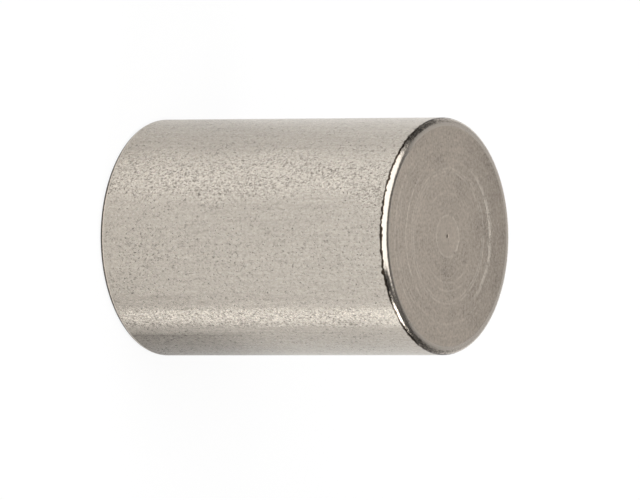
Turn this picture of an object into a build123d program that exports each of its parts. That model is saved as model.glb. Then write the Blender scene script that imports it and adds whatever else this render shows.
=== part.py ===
from build123d import *

import os

# Cylinder magnet: one solid round piece with rounded rims and a turned end face.
#
# Frame: millimetres, +Z up along the cylinder's axis. The origin is the centre of the
# bottom end face, so the magnet stands on its end from z = 0 to z = LENGTH. The top
# end face carries the marks of the lathe: a shallow parting spot with a centre pip.

# Overall size
DIAMETER = 14.0
LENGTH = 20.0

# Rounded rim at each end
TOP_RIM_RADIUS = 0.35
BOTTOM_RIM_RADIUS = 0.35

# Parting spot in the middle of the top face, left by the cut-off tool
SPOT_DIAMETER = 2.4
SPOT_DEPTH = 0.015

# Centre pip in the floor of the spot
PIP_DIAMETER = 0.26
PIP_DEPTH = 0.12


def half_section():
    """Half of the section through the axis, in the XZ plane."""
    side = DIAMETER / 2
    spot_edge = SPOT_DIAMETER / 2
    spot_floor = LENGTH - SPOT_DEPTH
    pip_edge = PIP_DIAMETER / 2
    bottom_face_edge = (side - BOTTOM_RIM_RADIUS, 0)
    side_bottom = (side, BOTTOM_RIM_RADIUS)
    side_top = (side, LENGTH - TOP_RIM_RADIUS)
    top_face_edge = (side - TOP_RIM_RADIUS, LENGTH)
    with BuildSketch(Plane.XZ) as section:
        with BuildLine():
            Line((0, 0), bottom_face_edge)
            RadiusArc(bottom_face_edge, side_bottom, -BOTTOM_RIM_RADIUS)
            Line(side_bottom, side_top)
            RadiusArc(side_top, top_face_edge, -TOP_RIM_RADIUS)
            Polyline(
                top_face_edge,
                (spot_edge, LENGTH),
                (spot_edge, spot_floor),
                (pip_edge, spot_floor),
                (0, spot_floor - PIP_DEPTH),
                (0, 0),
            )
        make_face()
    return section.sketch


def magnet_body():
    """The whole magnet, turned from its half section about the Z axis."""
    with BuildPart() as body:
        add(half_section())
        revolve(axis=Axis.Z)
    return body.part


os.makedirs("parts", exist_ok=True)
export_step(magnet_body(), "parts/magnet_body.step")
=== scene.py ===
import math
import random

import bpy
from mathutils import Matrix, Vector


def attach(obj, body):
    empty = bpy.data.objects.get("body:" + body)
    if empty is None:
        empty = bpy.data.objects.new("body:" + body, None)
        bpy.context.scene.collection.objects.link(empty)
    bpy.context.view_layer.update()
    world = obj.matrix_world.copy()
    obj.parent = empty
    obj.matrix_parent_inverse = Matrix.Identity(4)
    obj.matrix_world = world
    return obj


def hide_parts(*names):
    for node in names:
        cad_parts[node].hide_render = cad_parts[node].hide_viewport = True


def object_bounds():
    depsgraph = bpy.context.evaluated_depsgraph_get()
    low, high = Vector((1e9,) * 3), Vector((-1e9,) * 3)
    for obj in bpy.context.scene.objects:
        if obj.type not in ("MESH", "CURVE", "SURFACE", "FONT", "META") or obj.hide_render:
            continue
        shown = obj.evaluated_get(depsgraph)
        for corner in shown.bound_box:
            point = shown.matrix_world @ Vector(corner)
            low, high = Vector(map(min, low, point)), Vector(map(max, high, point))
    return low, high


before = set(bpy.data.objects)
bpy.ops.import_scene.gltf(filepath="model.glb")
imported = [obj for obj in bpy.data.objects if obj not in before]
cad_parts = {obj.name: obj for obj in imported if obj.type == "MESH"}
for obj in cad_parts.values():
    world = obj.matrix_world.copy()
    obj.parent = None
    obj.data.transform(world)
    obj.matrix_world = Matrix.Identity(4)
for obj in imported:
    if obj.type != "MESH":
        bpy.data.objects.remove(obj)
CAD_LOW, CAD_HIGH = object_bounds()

bl_info = {
    "name": "Cylinder magnet",
    "version": (1, 0, 0),
    "blender": (4, 5, 0),
    "location": "3D View > Sidebar > Magnet",
    "description": "A turned cylinder magnet with its metal finishes, and a studio to show it in",
    "category": "Add Mesh",
}

NODE = "magnet_body"
MM = 0.001
MICRON = 0.000001
DEGREES = 180 / math.pi

CAD_DIAMETER = CAD_HIGH.x - CAD_LOW.x
CAD_LENGTH = CAD_HIGH.z - CAD_LOW.z


# ---------------------------------------------------------------- node trees


class Graph:
    """A node tree while it is being built."""

    def __init__(self, tree):
        self.tree = tree
        tree.nodes.clear()

    def node(self, kind, settings=None, inputs=None, output=0):
        """Adds a node, applies its settings, then feeds its sockets. Gives one output."""
        made = self.tree.nodes.new(kind)
        for name, value in (settings or {}).items():
            if name == "stops":
                place_stops(made.color_ramp, value)
            else:
                setattr(made, name, value)
        for key, value in (inputs or {}).items():
            self.feed(made.inputs[key], value)
        return Wire(self, made.outputs[output]) if len(made.outputs) else made

    def feed(self, socket, value):
        """Links a wire to the socket, or sets a plain value on it."""
        if isinstance(value, Wire):
            self.tree.links.new(value.socket, socket)
        elif socket.type == "RGBA" and len(value) == 3:
            socket.default_value = (*value, 1)
        else:
            socket.default_value = value


def place_stops(ramp, stops):
    """Gives a colour ramp exactly these (position, grey level) stops."""
    while len(ramp.elements) > 1:
        ramp.elements.remove(ramp.elements[-1])
    for number, (position, level) in enumerate(stops):
        stop = ramp.elements[0] if number == 0 else ramp.elements.new(position)
        stop.position = position
        stop.color = (level, level, level, 1)


class Wire:
    """An output socket that takes part in Python arithmetic, adding its nodes as it goes."""

    def __init__(self, graph, socket):
        self.graph = graph
        self.socket = socket

    def other(self, output):
        """Another output of the same node."""
        return Wire(self.graph, self.socket.node.outputs[output])

    def math(self, operation, *operands):
        """A Math node, or a Vector Math node where one of the operands is a vector."""
        vectors = [w for w in operands if isinstance(w, Wire) and w.socket.type == "VECTOR"]
        kind = "ShaderNodeVectorMath" if vectors else "ShaderNodeMath"
        if vectors:
            operands = [w if isinstance(w, (Wire, tuple)) else (w, w, w) for w in operands]
        return self.graph.node(kind, {"operation": operation}, dict(enumerate(operands)))

    def apply(self, operation, *others):
        """A node for this operation on this wire, and on any others that it needs."""
        return self.math(operation, self, *others)

    def __add__(self, other):
        return self.apply("ADD", other)

    def __sub__(self, other):
        return self.apply("SUBTRACT", other)

    def __mul__(self, other):
        return self.apply("MULTIPLY", other)

    def __truediv__(self, other):
        return self.apply("DIVIDE", other)

    def __pow__(self, other):
        return self.apply("POWER", other)

    def __mod__(self, other):
        return self.apply("MODULO", other)

    def __rsub__(self, other):
        return self.math("SUBTRACT", other, self)

    def __rtruediv__(self, other):
        return self.math("DIVIDE", other, self)

    def __neg__(self):
        return self * -1

    def __abs__(self):
        return self.apply("ABSOLUTE")

    __radd__ = __add__
    __rmul__ = __mul__


def parts(vector):
    """The three components of a vector wire."""
    split = vector.graph.node("ShaderNodeSeparateXYZ", inputs={"Vector": vector})
    return split, split.other("Y"), split.other("Z")


def joined(x, y, z):
    """A vector wire from components, of which x is a wire."""
    return x.graph.node("ShaderNodeCombineXYZ", inputs={"X": x, "Y": y, "Z": z})


def rise(value, start, stop):
    """0 on start's side, 1 on stop's, and a smooth step between them, whichever of the two is higher."""
    limits = {"Value": value, "From Min": start, "From Max": stop}
    return value.graph.node("ShaderNodeMapRange", {"interpolation_type": "SMOOTHSTEP"}, limits)


def between(value, low, high, soft):
    """1 from low to high, with a smooth edge as wide as soft at each end."""
    half = soft / 2
    return rise(value, low - half, low + half) * (1 - rise(value, high - half, high + half))


def noise(vector, size, detail=2.0, roughness=0.5):
    """Noise between 0 and 1 with features of about this size, in the vector's own units."""
    inputs = {"Vector": vector, "Scale": 1 / size, "Detail": detail, "Roughness": roughness}
    return vector.graph.node("ShaderNodeTexNoise", inputs=inputs)


def blended(amount, first, second):
    """The second colour over the first by this amount."""
    mix = amount.graph.node("ShaderNodeMix", {"data_type": "RGBA"}, output=2)
    sockets = {socket.identifier: socket for socket in mix.socket.node.inputs}
    for name, value in (("Factor_Float", amount), ("A_Color", first), ("B_Color", second)):
        mix.graph.feed(sockets[name], value)
    return mix


# ---------------------------------------------------------------- the magnet's sizes


class MagnetShape(bpy.types.PropertyGroup):
    """Sizes of the turned body."""

    diameter: bpy.props.FloatProperty(
        name="Diameter", description="Across the side", default=CAD_DIAMETER, unit="LENGTH", precision=5)
    length: bpy.props.FloatProperty(
        name="Length", description="From end face to end face", default=CAD_LENGTH, unit="LENGTH",
        precision=5)
    bottom_rim: bpy.props.FloatProperty(
        name="Bottom rim", description="Radius of the rounded edge at the bottom end", default=0.35 * MM,
        unit="LENGTH", precision=5)
    top_rim: bpy.props.FloatProperty(
        name="Top rim", description="Width of the rounded edge around the top face", default=0.5 * MM,
        unit="LENGTH", precision=5)
    rim_fullness: bpy.props.FloatProperty(
        name="Rim fullness", description="How far the top rim stands fuller at the back, less worn there",
        default=0.045 * MM, unit="LENGTH", precision=6)
    rim_crease: bpy.props.FloatProperty(
        name="Rim crease", description="Angle at which the top rim breaks away from the side",
        default=math.radians(34), subtype="ANGLE")
    spot_diameter: bpy.props.FloatProperty(
        name="Spot diameter", description="Parting spot in the middle of the top face", default=2.4 * MM,
        unit="LENGTH", precision=5)
    spot_depth: bpy.props.FloatProperty(
        name="Spot depth", description="Depth of the parting spot", default=0.015 * MM, unit="LENGTH",
        precision=6)
    pip_diameter: bpy.props.FloatProperty(
        name="Pip diameter", description="Centre mark in the spot", default=0.26 * MM, unit="LENGTH",
        precision=5)
    pip_depth: bpy.props.FloatProperty(
        name="Pip depth", description="Depth of the centre mark", default=0.12 * MM, unit="LENGTH",
        precision=5)
    mark_depth: bpy.props.FloatProperty(
        name="Turning marks", description="Depth of the rings left by the lathe", default=4 * MICRON,
        unit="LENGTH", precision=6)
    rim_dents: bpy.props.FloatProperty(
        name="Rim dents", description="Depth of the small dents along the top rim", default=7 * MICRON,
        unit="LENGTH", precision=6)
    side_waves: bpy.props.FloatProperty(
        name="Side waves", description="Depth of the slow waves of the ground side", default=1.5 * MICRON,
        unit="LENGTH", precision=6)
    segments: bpy.props.IntProperty(
        name="Segments", description="Faces around the body", default=480, min=32, max=720)


class MagnetFinish(bpy.types.PropertyGroup):
    """Colours and gloss of the bare metal."""

    side_colour: bpy.props.FloatVectorProperty(
        name="Side", description="Colour of the ground side", subtype="COLOR", size=3,
        default=(0.62, 0.57, 0.503), min=0, max=1)
    rim_colour: bpy.props.FloatVectorProperty(
        name="Rims", description="Colour of the polished rims", subtype="COLOR", size=3,
        default=(0.60, 0.54, 0.475), min=0, max=1)
    end_colour: bpy.props.FloatVectorProperty(
        name="Ends", description="Colour of the turned end faces", subtype="COLOR", size=3,
        default=(0.61, 0.536, 0.46), min=0, max=1)
    # Colour of the lathe rings' painted highlights on the top face
    ring_highlight_colour: bpy.props.FloatVectorProperty(
        name="Lathe lines", description="Colour of the fresh lines on the top face", subtype="COLOR", size=3,
        default=(0.86, 0.80, 0.71), min=0, max=1)
    # The grime colour also colours the painted shade and painted dark reflections on the metal
    grime_and_shade_colour: bpy.props.FloatVectorProperty(
        name="Grime", description="Colour of the dark burr beside the rims and in the pits", subtype="COLOR",
        size=3, default=(0.036, 0.027, 0.019), min=0, max=1)
    side_roughness: bpy.props.FloatProperty(
        name="Side roughness", description="Roughness of the ground side", default=0.27, min=0, max=1)
    end_roughness: bpy.props.FloatProperty(
        name="End roughness", description="Roughness of the turned faces", default=0.55, min=0, max=1)


class MagnetStudio(bpy.types.PropertyGroup):
    """The camera and the light."""

    elevation: bpy.props.FloatProperty(
        name="Camera elevation", description="Height of the camera above the horizon",
        default=math.radians(32.55), subtype="ANGLE")
    roll: bpy.props.FloatProperty(
        name="Camera roll", description="How far the magnet's axis rises to the right",
        default=math.radians(0.23), subtype="ANGLE")
    distance: bpy.props.FloatProperty(
        name="Camera distance", description="From the camera to the magnet's middle",
        default=85 * CAD_DIAMETER, unit="LENGTH")
    view_width: bpy.props.FloatProperty(
        name="View width", description="Width of what the camera sees at the magnet",
        default=5.407 / 2 * CAD_DIAMETER, unit="LENGTH", precision=5)
    aim_right: bpy.props.FloatProperty(
        name="Aim right", description="How far the view's middle lies to the right of the magnet's",
        default=0.909 * MM, unit="LENGTH", precision=5)
    aim_down: bpy.props.FloatProperty(
        name="Aim down", description="How far the view's middle lies below the magnet's",
        default=0.775 * MM, unit="LENGTH", precision=5)
    floor_glow: bpy.props.FloatProperty(
        name="Floor glow", description="Share of the floor's white that shadows don't reach", default=0.9,
        min=0, max=1)
    mirrored_glow: bpy.props.FloatProperty(
        name="Mirrored glow", description="The same share where the floor shows in metal or glass",
        default=0.1, min=0, max=1)
    room_level: bpy.props.FloatProperty(
        name="Room level", description="Light from the dark parts of the room", default=0.12, min=0)
    rear_level: bpy.props.FloatProperty(
        name="Rear panel", description="Light from the round panel behind that the top face mirrors",
        default=0.65, min=0)
    top_level: bpy.props.FloatProperty(
        name="Top panel", description="Light from the panel in front and overhead", default=2.0, min=0)
    left_level: bpy.props.FloatProperty(
        name="Left panel", description="Light from the tall panel on the left", default=3.0, min=0)
    right_level: bpy.props.FloatProperty(
        name="Right panel", description="Light from the narrow panel on the right", default=9.0, min=0)
    fill_level: bpy.props.FloatProperty(
        name="Fill panel", description="Light from the low panel in front", default=1.3, min=0)


# ---------------------------------------------------------------- the turned body


def straight(start, stop, steps):
    """Points from start towards stop, without the last one."""
    return [tuple(a + (b - a) * i / steps for a, b in zip(start, stop)) for i in range(steps)]


def rim_arc(centre, radius, start, stop, steps):
    """Points along a rim's arc, both ends included, with angles in radians."""
    angles = [start + (stop - start) * i / steps for i in range(steps + 1)]
    return [(centre[0] + radius * math.cos(a), centre[1] + radius * math.sin(a)) for a in angles]


def rim_height(shape):
    """How far below the top face its rim starts on the side."""
    return shape.top_rim / math.cos(shape.rim_crease) * (1 - math.sin(shape.rim_crease))


def half_section(shape):
    """Half of the body's section from the bottom pole to the top pole, as (radius, height) points."""
    side = shape.diameter / 2
    top = shape.length
    low_rim = shape.bottom_rim
    rim_round = shape.top_rim / math.cos(shape.rim_crease)
    rim_start = top - rim_height(shape)
    spot_edge = shape.spot_diameter / 2
    spot_wall_top = spot_edge + 0.09 * MM
    spot_floor = top - shape.spot_depth
    pip_edge = shape.pip_diameter / 2
    pip_floor = spot_floor - shape.pip_depth
    quarter = math.pi / 2
    # Extra points just outside each rim keep its shading from spreading over the side and the face
    side_foot = (side, low_rim + 0.2 * MM)
    side_head = (side, rim_start - 0.05 * MM)
    crease_foot = (side, rim_start - 0.01 * MM)
    face_edge = (side - shape.top_rim - 0.03 * MM, top)

    points = straight((0, 0), (side - low_rim, 0), 30)
    points += rim_arc((side - low_rim, low_rim), low_rim, -quarter, 0, 9)
    points += straight(side_foot, side_head, 40) + [side_head, crease_foot]
    points += rim_arc((side - shape.top_rim, top - rim_round), rim_round, shape.rim_crease, quarter, 12)
    points += straight(face_edge, (spot_wall_top, top), 84)
    points += straight((spot_wall_top, top), (spot_edge, spot_floor), 3)
    points += straight((spot_edge, spot_floor), (pip_edge, spot_floor), 14)
    points += straight((pip_edge, spot_floor), (0, pip_floor), 3) + [(0, pip_floor)]
    return points


def ring_depth(radius, height, shape, chance):
    """How deep the lathe's marks are at this place of the half section, as a share of the full depth."""
    if height < shape.length - shape.spot_depth or radius < shape.pip_diameter:
        return 0.0
    reach = radius / (shape.diameter / 2)
    # Each ring has a reach and a width, both as shares of the body's radius, and a depth
    rings = ((0.35, 0.010, 0.5), (0.55, 0.012, 1.0), (0.66, 0.012, 0.6), (0.78, 0.015, 0.4))
    deep = sum(depth * math.exp(-(((reach - at) / width) ** 2)) for at, width, depth in rings)
    fine = 0.16 * chance.random()
    return deep + fine


def section_mesh(shape):
    """The half section as a mesh of points in the XZ plane, with the lathe's marks as an attribute."""
    chance = random.Random(11)
    points = half_section(shape)
    mesh = bpy.data.meshes.new(NODE + "_section")
    mesh.from_pydata([(r, 0, z) for r, z in points], [], [])
    marks = mesh.attributes.new("mark", "FLOAT", "POINT")
    for value, (r, z) in zip(marks.data, points):
        value.value = ring_depth(r, z, shape, chance)
    return mesh


def turning_tree():
    """A tree that turns a half section into a closed body and gives it its dents, waves and marks."""
    tree = bpy.data.node_groups.new("turned_body", "GeometryNodeTree")
    tree.is_modifier = True
    graph = Graph(tree)
    sockets = (
        ("Half section", "NodeSocketGeometry"),
        ("Segments", "NodeSocketInt"),
        ("Radius", "NodeSocketFloat"),
        ("Length", "NodeSocketFloat"),
        ("Top rim", "NodeSocketFloat"),
        ("Top rim height", "NodeSocketFloat"),
        ("Bottom rim", "NodeSocketFloat"),
        ("Rim fullness", "NodeSocketFloat"),
        ("Mark depth", "NodeSocketFloat"),
        ("Rim dents", "NodeSocketFloat"),
        ("Side waves", "NodeSocketFloat"),
        ("Side metal", "NodeSocketMaterial"),
        ("Rim metal", "NodeSocketMaterial"),
        ("End metal", "NodeSocketMaterial"),
    )
    for name, kind in sockets:
        tree.interface.new_socket(name, in_out="INPUT", socket_type=kind)
    tree.interface.new_socket("Body", in_out="OUTPUT", socket_type="NodeSocketGeometry")
    given = graph.node("NodeGroupInput")
    section, segments = given, given.other("Segments")
    radius, length = given.other("Radius"), given.other("Length")

    # A grid with one row for each point of the section and one column for each segment
    rows = graph.node("GeometryNodeAttributeDomainSize", inputs={"Geometry": section})
    grid = graph.node("GeometryNodeMeshGrid", inputs={"Vertices X": segments + 1, "Vertices Y": rows})
    index = graph.node("GeometryNodeInputIndex")
    row = index % rows
    column = (index / rows).apply("FLOOR")
    turn = column / segments * (2 * math.pi)
    place = graph.node("GeometryNodeInputPosition")
    on_section = graph.node(
        "GeometryNodeSampleIndex", {"data_type": "FLOAT_VECTOR"},
        {"Geometry": section, "Value": place, "Index": row})
    out, _, up = parts(on_section)
    turned_place = joined(out * turn.apply("COSINE"), out * turn.apply("SINE"), up)
    mark = graph.node("GeometryNodeInputNamedAttribute", {"data_type": "FLOAT"}, {"Name": "mark"})
    mark_here = graph.node(
        "GeometryNodeSampleIndex", {"data_type": "FLOAT"},
        {"Geometry": section, "Value": mark, "Index": row})
    body = graph.node("GeometryNodeStoreNamedAttribute", {"data_type": "FLOAT"},
                      {"Geometry": grid, "Name": "mark", "Value": mark_here})
    body = graph.node("GeometryNodeSetPosition", inputs={"Geometry": body, "Position": turned_place})
    body = graph.node("GeometryNodeMergeByDistance", inputs={"Geometry": body, "Distance": 0.01 * MICRON})

    # Dents, waves and marks push the surface in along its normal, and fullness pushes it out
    x, y, z = parts(place)
    reach = (x * x + y * y) ** 0.5
    depth = radius - reach
    below_top = length - z
    top_rim, rim_high = given.other("Top rim"), given.other("Top rim height")
    near_rim = rise(below_top, rim_high + 0.03 * MM, rim_high)
    on_top_rim = near_rim * rise(depth, top_rim + 0.02 * MM, top_rim - 0.02 * MM)
    dents = noise(place, 0.22 * MM, 3) * on_top_rim * given.other("Rim dents")
    along_rim = depth / top_rim
    bulge = 9.5 * along_rim * (1 - along_rim) ** 3 * on_top_rim * rise(y, -0.1 * radius, 0.4 * radius)
    full = bulge * given.other("Rim fullness")
    wave = noise(place, 2.5 * MM, 1) * given.other("Side waves") * rise(depth, 0.1 * MM, 0)
    fade = rise(noise(place, 2.2 * MM, 1), 0.35, 0.62) * 0.8 + 0.2
    rings = mark * fade * given.other("Mark depth")
    normal = graph.node("GeometryNodeInputNormal")
    push = graph.node("ShaderNodeVectorMath", {"operation": "SCALE"},
                      {0: normal, "Scale": full - dents - wave - rings})
    body = graph.node("GeometryNodeSetPosition", inputs={"Geometry": body, "Offset": push})
    body = graph.node("GeometryNodeSetShadeSmooth", inputs={"Geometry": body})

    body = graph.node("GeometryNodeRealizeInstances", inputs={"Geometry": body})
    # The top face reaches down to the pip's floor, and the bottom face is flat
    face_depth, flat = 0.2 * MM, 0.001 * MM
    bottom_rim = given.other("Bottom rim")
    on_face = below_top.apply("LESS_THAN", face_depth) * reach.apply("LESS_THAN", radius - top_rim)
    on_foot = z.apply("LESS_THAN", flat) * reach.apply("LESS_THAN", radius - bottom_rim)
    on_rim = z.apply("LESS_THAN", bottom_rim) + below_top.apply("LESS_THAN", rim_high)
    for metal, where in (("Side metal", True), ("Rim metal", on_rim), ("End metal", on_face + on_foot)):
        body = graph.node("GeometryNodeSetMaterial", inputs={
            "Geometry": body, "Selection": where, "Material": given.other(metal)})
    graph.node("NodeGroupOutput", inputs={"Body": body})
    return tree


def turned_body(shape, metals):
    """The finished plain mesh of the turned body."""
    blank = bpy.data.objects.new(NODE + "_blank", section_mesh(shape))
    bpy.context.scene.collection.objects.link(blank)
    tree = turning_tree()
    modifier = blank.modifiers.new("turning", "NODES")
    modifier.node_group = tree
    values = {
        "Segments": shape.segments,
        "Radius": shape.diameter / 2,
        "Length": shape.length,
        "Top rim": shape.top_rim,
        "Top rim height": rim_height(shape),
        "Bottom rim": shape.bottom_rim,
        "Rim fullness": shape.rim_fullness,
        "Mark depth": shape.mark_depth,
        "Rim dents": shape.rim_dents,
        "Side waves": shape.side_waves,
        "Side metal": metals["side"],
        "Rim metal": metals["rim"],
        "End metal": metals["end"],
    }
    for item in tree.interface.items_tree:
        if item.in_out == "INPUT" and item.name in values:
            modifier[item.identifier] = values[item.name]
    evaluated = blank.evaluated_get(bpy.context.evaluated_depsgraph_get())
    mesh = bpy.data.meshes.new_from_object(evaluated)
    mesh.name = "turned_magnet"
    bpy.data.objects.remove(blank)
    return mesh


# ---------------------------------------------------------------- the metal

# Strips of thicker pits, painted lighter and with stronger specks as highlights: from, to and softness, in
# degrees to the left of the front
WIDE_STRIP = (21, 41.5, 13)
BACK_STRIP = (105, 160, 30)
# The narrow strip, in degrees to the right of the front
NARROW_STRIP = (37.5, 49, 3)

# Steps to another part of the noise, so that two patterns don't fall on each other
SCRATCH_STEP = 0.17
END_PIT_STEP = 0.53


def new_metal(name):
    """An empty material and its graph."""
    material = bpy.data.materials.new(name)
    material.use_nodes = True
    return material, Graph(material.node_tree)


def place_on_magnet(graph):
    """Object coordinates in metres, together and one by one, and the distance from the axis."""
    place = graph.node("ShaderNodeTexCoord", output="Object")
    x, y, z = parts(place)
    return place, x, y, z, (x * x + y * y) ** 0.5


def upper_end(z, shape):
    """1 on the upper half of the magnet."""
    return rise(z, shape.length / 2, shape.length / 2 + MM)


def bumped(relief):
    """A normal from a relief given in thousandths of a millimetre."""
    inputs = {"Strength": 1.0, "Distance": MICRON, "Height": relief}
    return relief.graph.node("ShaderNodeBump", inputs=inputs)


def finish_metal(graph, colour, roughness, normal, anisotropy=0.0):
    """The closing shader: bare metal with this colour, roughness and normal."""
    inputs = {
        "Base Color": colour,
        "Metallic": 1.0,
        "Roughness": roughness,
        "Normal": normal,
        "Anisotropic": anisotropy,
        "Anisotropic Rotation": 0.25,
    }
    metal = graph.node("ShaderNodeBsdfPrincipled", inputs=inputs)
    graph.node("ShaderNodeOutputMaterial", inputs={"Surface": metal})


def turn_on_magnet(place):
    """Degrees around the magnet from its front, to the left as seen from there."""
    x, y, _ = parts(place)
    return (-x).apply("ARCTAN2", -y) * DEGREES


def burr_and_crease_shade(place, shape):
    """1 on the dark broken line where the top rim leaves the side, partly burr and grime, partly painted
    shade, with a nick in it near the front.
    """
    turn = turn_on_magnet(place)
    wander = noise(place, 0.24 * MM, 3) - 0.5
    nick = 1 - rise(abs(turn + 17.6), 0.3, 1.6)
    # A dark patch near the nick is painted shade that breaks the rim's highlight
    painted_bruise_shade = between(turn, -27, -17, 4)
    thin = between(-turn, 37, 48, 4)
    # Heights from here on are in millimetres above the rim's crease
    above = (parts(place)[2] - shape.length + rim_height(shape)) / MM + 0.26 * wander
    line = rise(above + 0.10 * nick, -0.07, -0.03) * (1 - rise(above, 0.045, 0.08))
    return line * (1 - 0.05 * thin) + 0.7 * painted_bruise_shade * between(above, 0.07, 0.17, 0.06)


def pits(place, share):
    """1 in small ragged pits that cover about this share more of the surface."""
    ragged = noise(place, 0.12 * MM, 3, 0.6)
    edge = 0.60 - 0.07 * share
    return rise(ragged, edge, edge + 0.09)


def scratches(place, size, width, rarity):
    """1 on short wandering lines: a higher rarity leaves fewer of them."""
    wander = abs(noise(place, size, 1) - 0.5)
    return (1 - rise(wander, width / 2, width)) * rise(
        noise(place + SCRATCH_STEP, size, 2), rarity, rarity + 0.08)


def side_painted_light_and_shade(turn, up, wide, narrow):
    """How dark the side is before its texture, as painted shade and painted highlights. up is the height as
    a share of the length.
    """
    lower = rise(up, 0.55, 0.2)
    # Painted shade: darker beside the narrow strip and on the right side, most of all low down, where a
    # painted shadow ends in a dark line
    painted_shade_beside_strip = (0.04 + 0.04 * lower) * between(-turn, 29, 37.5, 3)
    painted_flank_shade = (0.07 + 0.05 * lower) * between(-turn, 46, 100, 4)
    shadow = 0.20 * lower * between(-turn, 54, 100, 5)
    painted_shadow_edge = 0.10 * lower * between(-turn, 55.8, 56.6, 0.5)
    # Painted highlights: lighter on the left side, in the strips and at the top of the narrow strip, and
    # lighter towards the top overall
    left = 0.08 * between(turn, 74, 110, 24)
    painted_strip_highlights = 0.06 * wide + narrow * (0.08 + 0.16 * rise(up, 0.85, 0.97))
    return 0.03 + painted_shade_beside_strip + painted_flank_shade + shadow + painted_shadow_edge - left - 0.05 * up - painted_strip_highlights


def side_metal(finish, shape):
    """Ground side with fine pits, thick in some strips along the axis and thin in others, and painted shade
    and painted highlights in its colour.
    """
    material, graph = new_metal("ground_side")
    place, x, y, z, _ = place_on_magnet(graph)
    drawn = joined(x, y, z * 0.7)
    turn = turn_on_magnet(place)
    patches = noise(joined(x, y, z * 0.5), 2.4 * MM, 2) - 0.5
    wide = between(turn + 40 * patches, *WIDE_STRIP) + 0.8 * between(turn, *BACK_STRIP)
    narrow = between(-turn, *NARROW_STRIP)
    strips = wide + narrow
    pitted = pits(drawn, 0.18 + strips + 2.6 * patches)
    lines = scratches(drawn, 0.24 * MM, 0.045, 0.50) + 1.5 * scratches(place, 0.8 * MM, 0.016, 0.60)
    grain = noise(drawn, 0.112 * MM, 3, 0.6) - 0.5
    streaks = noise(joined(x, y, z * 0.03), 0.14 * MM, 2) - 0.5
    # In the strips the grain is stronger, and its light specks there are painted glints
    texture = 0.32 * pitted + 0.16 * lines + (0.6 + 0.75 * wide + 0.95 * narrow) * grain + 0.2 * streaks
    shade = 0.22 + side_painted_light_and_shade(turn, z / shape.length, wide, narrow) + texture
    shade = shade.apply("MAXIMUM", burr_and_crease_shade(place, shape))
    colour = blended(shade, tuple(finish.side_colour), tuple(finish.grime_and_shade_colour))
    relief = grain * (10 + 24 * wide) - pitted * 6 - lines * 3 + streaks * 3
    roughness = finish.side_roughness + 0.08 * pitted
    finish_metal(graph, colour, roughness, bumped(relief), 0.95)
    return material


def rim_metal(finish, shape):
    """Polished rims: the burr line and a painted dark reflection on the top one, and painted shade along the
    foot of the bottom one.
    """
    material, graph = new_metal("polished_rim")
    place, _, _, z, reach = place_on_magnet(graph)
    upper = upper_end(z, shape)
    inward = (shape.diameter / 2 - reach) / MM
    turn = abs(turn_on_magnet(place))
    grain = noise(place, 0.14 * MM, 3)
    specks = noise(place, 0.09 * MM, 2)
    back = rise(turn, 75, 110)
    beside = rise(turn, 42, 60) * (1 - back)
    # Painted dark reflection on the top rim, beside the front and at the back, broken up by specks
    painted_dark_reflection = beside * rise(inward, 0.38, 0.18) + 0.25 * back * rise(inward, 0.55, 0.25)
    painted_dark_reflection = painted_dark_reflection * (0.1 + 0.85 * rise(specks, 0.36, 0.62))
    # Painted shade along the foot of the bottom rim, where it meets the floor
    foot = 0.9 * rise(z / MM + 0.1 * (grain - 0.5), 0.28, 0.24)
    shade = upper * painted_dark_reflection.apply("MAXIMUM", burr_and_crease_shade(place, shape)) + (1 - upper) * foot
    colour = blended(shade, tuple(finish.rim_colour), tuple(finish.grime_and_shade_colour))
    relief = grain * 6 + specks * 16 * beside * upper
    roughness = 0.14 + 0.1 * grain + 0.2 * beside * rise(inward, 0.15, 0.4)
    finish_metal(graph, colour, roughness, bumped(relief))
    return material


def lathe_ring_highlights(place, reach):
    """Rings left by the lathe, painted lighter as highlights, with painted glints: each has a radius, a
    strength and the direction it is strongest in.
    """
    x, y, _ = parts(place)
    rings = (
        (1.24, 0.5, None),
        (2.58, 0.3, 180), (2.74, 0.3, 0), (3.25, 0.25, 0), (3.58, 0.3, 225),
        (3.80, 0.4, None), (3.99, 0.4, None),
        (4.62, 0.9, 90), (4.74, 0.7, 90), (4.60, 0.6, 270),
        (5.19, 0.3, 0), (5.42, 0.3, 270), (5.80, 0.5, 270),
    )
    wander = 0.12 * (noise(place, 1.1 * MM, 2) - 0.5)
    away = reach / MM + wander
    lines = 0
    for radius, strength, direction in rings:
        line = 1 - rise(abs(away - radius), 0.02, 0.09)
        if direction is not None:
            angle = math.radians(direction)
            towards = (x * math.cos(angle) + y * math.sin(angle)) / reach
            line = line * rise(towards, 0.35, 0.95)
        lines = strength * line + lines
    lines = lines * rise(noise(place, 0.5 * MM, 3), 0.38, 0.55)
    specks = rise(noise(place, 0.13 * MM, 2), 0.52, 0.66)
    # Painted glints on a ring at the back of the top face
    painted_glints = between(away, 4.4, 4.95, 0.2) * rise(y / reach, 0.75, 1) * specks
    return lines + 0.6 * painted_glints


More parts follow.
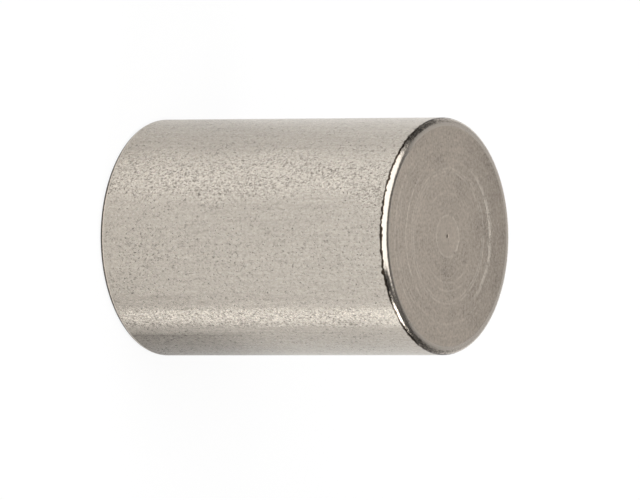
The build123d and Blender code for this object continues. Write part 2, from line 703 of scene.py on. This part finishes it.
def end_metal(finish, shape):
    """Turned end faces with fine rings and painted shade towards the back. The top one has lathe rings
    painted lighter as highlights, the spot, and its pip painted dark as shade.
    """
    material, graph = new_metal("turned_end")
    place, x, y, z, reach = place_on_magnet(graph)
    upper = upper_end(z, shape)
    swirl = joined(reach, x * 0.12, y * 0.12)
    fine = noise(swirl, 0.16 * MM, 2) - 0.5
    mottle = noise(place, 0.18 * MM, 3, 0.6) - 0.5
    cloud = noise(place, 1.6 * MM, 2) - 0.5
    pitted = pits(place + END_PIT_STEP, -0.2 + 5 * cloud)
    # The pip is painted dark, as the shade in its hollow
    pip = upper * (1 - rise(reach, 0.07 * MM, 0.14 * MM))
    spot = upper * (1 - rise(reach, 1.15 * MM, 1.25 * MM))
    # Painted shade: the end faces are darker towards the back
    tone = 0.18 + 0.17 * rise(y, 0, 0.45 * shape.diameter) - 0.03 * spot + 0.15 * cloud
    shade = tone + (1 - 0.3 * spot) * (0.24 * fine + 0.72 * mottle + 0.25 * pitted)
    shade = shade.apply("MAXIMUM", 0.95 * pip)
    colour = blended(shade, tuple(finish.end_colour), tuple(finish.grime_and_shade_colour))
    colour = blended(upper * lathe_ring_highlights(place, reach) * 0.6, colour, tuple(finish.ring_highlight_colour))
    relief = fine * 3 + mottle * 18 - pitted * 5
    finish_metal(graph, colour, finish.end_roughness + 0.1 * mottle, bumped(relief), 0.1)
    return material


class MAGNET_OT_turned_body(bpy.types.Operator):
    """Turn the magnet's body and give it its metal"""

    bl_idname = "magnet.turned_body"
    bl_label = "Turned body"

    def execute(self, context):
        scene = context.scene
        finish = scene.magnet_finish
        shape = scene.magnet_shape
        metals = {
            "side": side_metal(finish, shape),
            "rim": rim_metal(finish, shape),
            "end": end_metal(finish, shape),
        }
        body = bpy.data.objects.new("turned_magnet", turned_body(shape, metals))
        scene.collection.objects.link(body)
        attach(body, "root")
        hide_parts(NODE)
        return {"FINISHED"}


# ---------------------------------------------------------------- the studio


def studio_floor(studio):
    """A wide pale floor that looks white and keeps the magnet's shadow."""
    half_width = 3.0
    corners = [(half_width * x, half_width * y, 0) for x, y in ((-1, -1), (1, -1), (1, 1), (-1, 1))]
    mesh = bpy.data.meshes.new("studio_floor")
    mesh.from_pydata(corners, [], [(0, 1, 2, 3)])
    material = bpy.data.materials.new("pale_floor")
    material.use_nodes = True
    graph = Graph(material.node_tree)
    rays = graph.node("ShaderNodeLightPath", output="Is Camera Ray")
    mirrored = rays.other("Is Glossy Ray").apply("MAXIMUM", rays.other("Is Transmission Ray"))
    glow = rays * studio.floor_glow + mirrored * studio.mirrored_glow
    lit = graph.node("ShaderNodeBsdfDiffuse", inputs={"Color": (0.87, 0.87, 0.87)})
    white = graph.node("ShaderNodeEmission", inputs={"Color": (1, 1, 1), "Strength": 1.0})
    mixed = graph.node("ShaderNodeMixShader", inputs={0: glow, 1: lit, 2: white})
    graph.node("ShaderNodeOutputMaterial", inputs={"Surface": mixed})
    mesh.materials.append(material)
    floor = bpy.data.objects.new("studio_floor", mesh)
    bpy.context.scene.collection.objects.link(floor)


def studio_world(studio):
    """A dim room with a pale horizon, a round panel behind and four panels in front.

    The edges of the panels are given by the turn and the tilt, in degrees, of a small mirror on the
    magnet that shows them to someone at the front: turn runs to the left of the front, tilt up from level.
    """
    world = bpy.data.worlds.new("studio_room")
    world.use_nodes = True
    graph = Graph(world.node_tree)
    direction = graph.node("ShaderNodeTexCoord", output="Generated")
    up = parts(direction)[2].apply("ARCSINE") * DEGREES
    mirror = direction + (0.0, -math.cos(studio.elevation), math.sin(studio.elevation))
    mirror_x, mirror_y, mirror_z = parts(mirror.apply("NORMALIZE"))
    turn = (-mirror_x).apply("ARCTAN2", -mirror_y) * DEGREES
    tilt = mirror_z.apply("ARCSINE") * DEGREES

    # The top panel reaches further right near its upper edge, its left edge is bowed, and its upper
    # edge is lower on the left
    right_edge = rise(turn + 8 * rise(tilt, 56, 70), -17, -15)
    left_edge = 1 - rise(turn + 6 * ((tilt - 52) / 20) ** 2, 45, 48)
    top = right_edge * left_edge * between(tilt, 29, 71 - 5 * rise(turn, 32, 42), 3)
    left = between(turn, 20, 44, 10) * between(tilt, 12, 40, 4)
    right = rise(-turn, 36.8, 38.2) * (1 - rise(-turn, 41, 50)) * between(tilt, 15, 50, 4)
    fill = between(-turn, 8, 37, 8) * between(tilt, 18, 31, 3)
    lowest = 80 - 40 * rise(abs(turn), 48, 90)
    rear = rise(tilt, lowest, lowest + 12)
    horizon = 1 - rise(up, 9, 12)
    panels = (
        (top, studio.top_level),
        (left, studio.left_level),
        (right, studio.right_level),
        (fill, studio.fill_level),
        (rear, studio.rear_level),
        (horizon, 1.0),
    )
    room = light = studio.room_level
    for panel, level in panels:
        light = (room + panel * (level - room)).apply("MAXIMUM", light)
    background = graph.node("ShaderNodeBackground", inputs={"Color": (1, 1, 1), "Strength": light})
    graph.node("ShaderNodeOutputWorld", inputs={"Surface": background})
    bpy.context.scene.world = world


def studio_camera(studio):
    """A long lens from the front and above, turned so that the magnet's axis lies across the view."""
    elevation = studio.elevation
    back = Vector((0, -math.cos(elevation), math.sin(elevation)))
    along = Vector((0, math.sin(elevation), math.cos(elevation)))
    across = Vector((-1, 0, 0))
    right = along * math.cos(studio.roll) - across * math.sin(studio.roll)
    up = across * math.cos(studio.roll) + along * math.sin(studio.roll)
    middle = (CAD_LOW + CAD_HIGH) / 2
    target = middle + right * studio.aim_right - up * studio.aim_down
    camera = bpy.data.objects.new("camera", bpy.data.cameras.new("camera"))
    camera.data.lens = camera.data.sensor_width * studio.distance / studio.view_width
    camera.data.clip_end = 10
    turned = Matrix((right, up, back)).transposed().to_4x4()
    camera.matrix_world = Matrix.Translation(target + back * studio.distance) @ turned
    bpy.context.scene.collection.objects.link(camera)
    bpy.context.scene.camera = camera


class MAGNET_OT_studio(bpy.types.Operator):
    """Set up the floor, the light and the camera"""

    bl_idname = "magnet.studio"
    bl_label = "Studio"

    def execute(self, context):
        studio = context.scene.magnet_studio
        studio_floor(studio)
        studio_world(studio)
        studio_camera(studio)
        context.scene.view_settings.view_transform = "Standard"
        return {"FINISHED"}


# ---------------------------------------------------------------- the panel


class VIEW3D_PT_magnet(bpy.types.Panel):
    """Sizes, colours and buttons in the sidebar"""

    bl_idname = "VIEW3D_PT_magnet"
    bl_label = "Cylinder magnet"
    bl_space_type = "VIEW_3D"
    bl_region_type = "UI"
    bl_category = "Magnet"

    def draw(self, context):
        column = self.layout.column()
        scene = context.scene
        for settings in (scene.magnet_shape, scene.magnet_finish, scene.magnet_studio):
            for name in settings.__annotations__:
                column.prop(settings, name)
        for operator in (MAGNET_OT_turned_body, MAGNET_OT_studio):
            column.operator(operator.bl_idname)


CLASSES = (
    MagnetShape,
    MagnetFinish,
    MagnetStudio,
    MAGNET_OT_turned_body,
    MAGNET_OT_studio,
    VIEW3D_PT_magnet,
)


def register():
    for item in CLASSES:
        bpy.utils.register_class(item)
    bpy.types.Scene.magnet_shape = bpy.props.PointerProperty(type=MagnetShape)
    bpy.types.Scene.magnet_finish = bpy.props.PointerProperty(type=MagnetFinish)
    bpy.types.Scene.magnet_studio = bpy.props.PointerProperty(type=MagnetStudio)


def unregister():
    del bpy.types.Scene.magnet_studio
    del bpy.types.Scene.magnet_finish
    del bpy.types.Scene.magnet_shape
    for item in reversed(CLASSES):
        bpy.utils.unregister_class(item)


def main():
    register()
    bpy.ops.magnet.turned_body()
    bpy.ops.magnet.studio()


if __name__ == "__main__":
    main()
